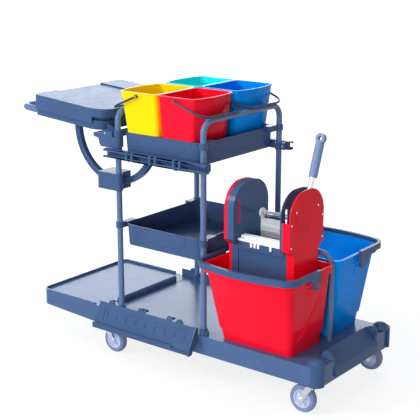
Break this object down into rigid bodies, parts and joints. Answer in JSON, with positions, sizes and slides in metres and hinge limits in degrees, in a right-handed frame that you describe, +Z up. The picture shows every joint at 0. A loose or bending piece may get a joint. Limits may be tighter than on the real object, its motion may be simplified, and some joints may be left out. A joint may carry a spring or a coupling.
{
  "type": "janitor cart",
  "caption": "Castored cleaning cart with tube frames, trays, small lift-out pails with wire bails, two mop buckets, a geared lever wringer and a hinged bag holder with lid.",
  "frame": {"origin": "middle of the bounding box on the floor", "axes": "+X along the cart towards the mop buckets, +Y towards the far side in the picture, +Z up"},
  "size_m": [1.4154, 0.666, 1.0183],
  "materials": {
    "slate_plastic": "satin moulded",
    "frame_paint": "gloss powder coat",
    "red_plastic": "gloss moulded",
    "yellow_plastic": "gloss moulded",
    "turquoise_plastic": "gloss moulded",
    "blue_plastic": "gloss moulded",
    "white_plastic": "satin moulded",
    "dark_wire": "satin",
    "zinc_steel": "zinc plated",
    "tyre_rubber": "matt non-marking rubber",
    "hub_plastic": "satin moulded",
    "lever_metal": "satin anodised",
    "gear_plastic": "satin moulded"
  },
  "bodies": {
    "cart": {"chassis": "slate_plastic", "bag_platform": "slate_plastic", "tool_troughs": "slate_plastic", "end_trough": "slate_plastic", "corner_bumpers": "slate_plastic", "left_frame": "frame_paint", "right_frame": "frame_paint", "tube_sockets": "slate_plastic", "top_tray": "slate_plastic", "middle_tray": "slate_plastic", "tray_clips": "slate_plastic", "tool_rails": "slate_plastic", "rail_clamps": "slate_plastic", "clamp_screws": "zinc_steel", "divider_hoop": "frame_paint", "bag_hinge_brackets": "slate_plastic", "bag_guide_brackets": "slate_plastic", "castor_stems": "zinc_steel"},
    "bag_holder": {"bag_ring": "slate_plastic", "push_handle": "frame_paint", "bag_arcs": "slate_plastic", "bag_hinge_pins": "zinc_steel"},
    "lid": {"bag_lid": "slate_plastic", "lid_hinge_pin": "zinc_steel"},
    "front_left_castor": {"front_left_fork": "zinc_steel"},
    "front_left_wheel": {"front_left_hub": "hub_plastic", "front_left_tyre": "tyre_rubber"},
    "front_right_castor": {"front_right_fork": "zinc_steel"},
    "front_right_wheel": {"front_right_hub": "hub_plastic", "front_right_tyre": "tyre_rubber"},
    "rear_left_castor": {"rear_left_fork": "zinc_steel"},
    "rear_left_wheel": {"rear_left_hub": "hub_plastic", "rear_left_tyre": "tyre_rubber"},
    "rear_right_castor": {"rear_right_fork": "zinc_steel"},
    "rear_right_wheel": {"rear_right_hub": "hub_plastic", "rear_right_tyre": "tyre_rubber"},
    "yellow_small_bucket": {"yellow_pail": "yellow_plastic"},
    "yellow_small_bail": {"yellow_bail": "dark_wire"},
    "red_small_bucket": {"red_pail": "red_plastic"},
    "red_small_bail": {"red_bail": "dark_wire"},
    "green_small_bucket": {"green_pail": "turquoise_plastic"},
    "green_small_bail": {"green_bail": "dark_wire"},
    "blue_small_bucket": {"blue_pail": "blue_plastic"},
    "blue_small_bail": {"blue_bail": "dark_wire"},
    "red_mop_bucket": {"red_bucket": "red_plastic"},
    "red_mop_handle": {"red_handle": "slate_plastic"},
    "blue_mop_bucket": {"blue_bucket": "blue_plastic"},
    "blue_mop_handle": {"blue_handle": "slate_plastic"},
    "wringer": {"wringer_plates": "slate_plastic", "wringer_covers": "red_plastic", "cover_screws": "zinc_steel", "front_wall": "slate_plastic", "front_jaw": "white_plastic"},
    "jaw": {"rear_jaw": "white_plastic", "jaw_shaft": "zinc_steel", "jaw_gear": "gear_plastic", "return_spring": "zinc_steel"},
    "lever": {"lever_tube": "lever_metal", "lever_grip": "slate_plastic", "drive_gear": "gear_plastic"}
  },
  "joints": [
    {"name": "bag_holder_fold", "type": "hinge", "parent": "cart", "child": "bag_holder", "pos_m": [-0.24327, 0, 0.856], "axis": [0, 1, 0], "range_deg": [0, 24]},
    {"name": "lid_open", "type": "hinge", "parent": "bag_holder", "child": "lid", "pos_m": [-0.27391, 0, 0.90004], "axis": [0, 1, 0], "range_deg": [0, 50]},
    {"name": "front_left_swivel", "type": "hinge", "parent": "cart", "child": "front_left_castor", "pos_m": [-0.25927, -0.225, 0.105], "axis": [0, 0, 1], "continuous": true},
    {"name": "front_left_roll", "type": "hinge", "parent": "front_left_castor", "child": "front_left_wheel", "pos_m": [-0.22627, -0.225, 0.05], "axis": [0, 1, 0], "continuous": true},
    {"name": "front_right_swivel", "type": "hinge", "parent": "cart", "child": "front_right_castor", "pos_m": [0.66373, -0.225, 0.105], "axis": [0, 0, 1], "continuous": true},
    {"name": "front_right_roll", "type": "hinge", "parent": "front_right_castor", "child": "front_right_wheel", "pos_m": [0.63073, -0.225, 0.05], "axis": [0, 1, 0], "continuous": true},
    {"name": "rear_left_swivel", "type": "hinge", "parent": "cart", "child": "rear_left_castor", "pos_m": [-0.25927, 0.225, 0.105], "axis": [0, 0, 1], "continuous": true},
    {"name": "rear_left_roll", "type": "hinge", "parent": "rear_left_castor", "child": "rear_left_wheel", "pos_m": [-0.22627, 0.225, 0.05], "axis": [0, 1, 0], "continuous": true},
    {"name": "rear_right_swivel", "type": "hinge", "parent": "cart", "child": "rear_right_castor", "pos_m": [0.66373, 0.225, 0.105], "axis": [0, 0, 1], "continuous": true},
    {"name": "rear_right_roll", "type": "hinge", "parent": "rear_right_castor", "child": "rear_right_wheel", "pos_m": [0.63073, 0.225, 0.05], "axis": [0, 1, 0], "continuous": true},
    {"name": "yellow_pail_lift", "type": "slide", "parent": "cart", "child": "yellow_small_bucket", "axis": [0, 0, 1], "range_m": [0, 0.3]},
    {"name": "yellow_bail_swing", "type": "hinge", "parent": "yellow_small_bucket", "child": "yellow_small_bail", "pos_m": [-0.08727, -0.124, 1.0043], "axis": [0, 1, 0], "range_deg": [0, 110]},
    {"name": "red_pail_lift", "type": "slide", "parent": "cart", "child": "red_small_bucket", "axis": [0, 0, 1], "range_m": [0, 0.3]},
    {"name": "red_bail_swing", "type": "hinge", "parent": "red_small_bucket", "child": "red_small_bail", "pos_m": [0.08873, -0.124, 1.0043], "axis": [0, -1, 0], "range_deg": [0, 110]},
    {"name": "green_pail_lift", "type": "slide", "parent": "cart", "child": "green_small_bucket", "axis": [0, 0, 1], "range_m": [0, 0.3]},
    {"name": "green_bail_swing", "type": "hinge", "parent": "green_small_bucket", "child": "green_small_bail", "pos_m": [-0.08727, 0.124, 1.0043], "axis": [0, 1, 0], "range_deg": [0, 110]},
    {"name": "blue_pail_lift", "type": "slide", "parent": "cart", "child": "blue_small_bucket", "axis": [0, 0, 1], "range_m": [0, 0.3]},
    {"name": "blue_bail_swing", "type": "hinge", "parent": "blue_small_bucket", "child": "blue_small_bail", "pos_m": [0.08873, 0.124, 1.0043], "axis": [0, -1, 0], "range_deg": [0, 110]},
    {"name": "red_bucket_lift", "type": "slide", "parent": "cart", "child": "red_mop_bucket", "axis": [0, 0, 1], "range_m": [0, 0.16]},
    {"name": "red_handle_swing", "type": "hinge", "parent": "red_mop_bucket", "child": "red_mop_handle", "pos_m": [0.42573, -0.152, 0.4313], "axis": [-1, 0, 0], "range_deg": [0, 45]},
    {"name": "blue_bucket_lift", "type": "slide", "parent": "cart", "child": "blue_mop_bucket", "axis": [0, 0, 1], "range_m": [0, 0.16]},
    {"name": "blue_handle_swing", "type": "hinge", "parent": "blue_mop_bucket", "child": "blue_mop_handle", "pos_m": [0.42573, 0.152, 0.4313], "axis": [1, 0, 0], "range_deg": [0, 100]},
    {"name": "wringer_lift", "type": "slide", "parent": "red_mop_bucket", "child": "wringer", "axis": [0, 0, 1], "range_m": [0, 0.25]},
    {"name": "lever_pull", "type": "hinge", "parent": "wringer", "child": "lever", "pos_m": [0.54373, -0.12225, 0.613], "axis": [1, 0, 0], "range_deg": [0, 85]},
    {"name": "jaw_press", "type": "hinge", "parent": "wringer", "child": "jaw", "pos_m": [0.42573, -0.057, 0.613], "axis": [1, 0, 0], "range_deg": [-38.5, 0], "stiffness_Nm_per_rad": 1.5, "springref_deg": 17.19}
  ],
  "couplings": [
    {"joint": "jaw_press", "follows": "lever_pull", "ratio": -0.45}
  ]
}
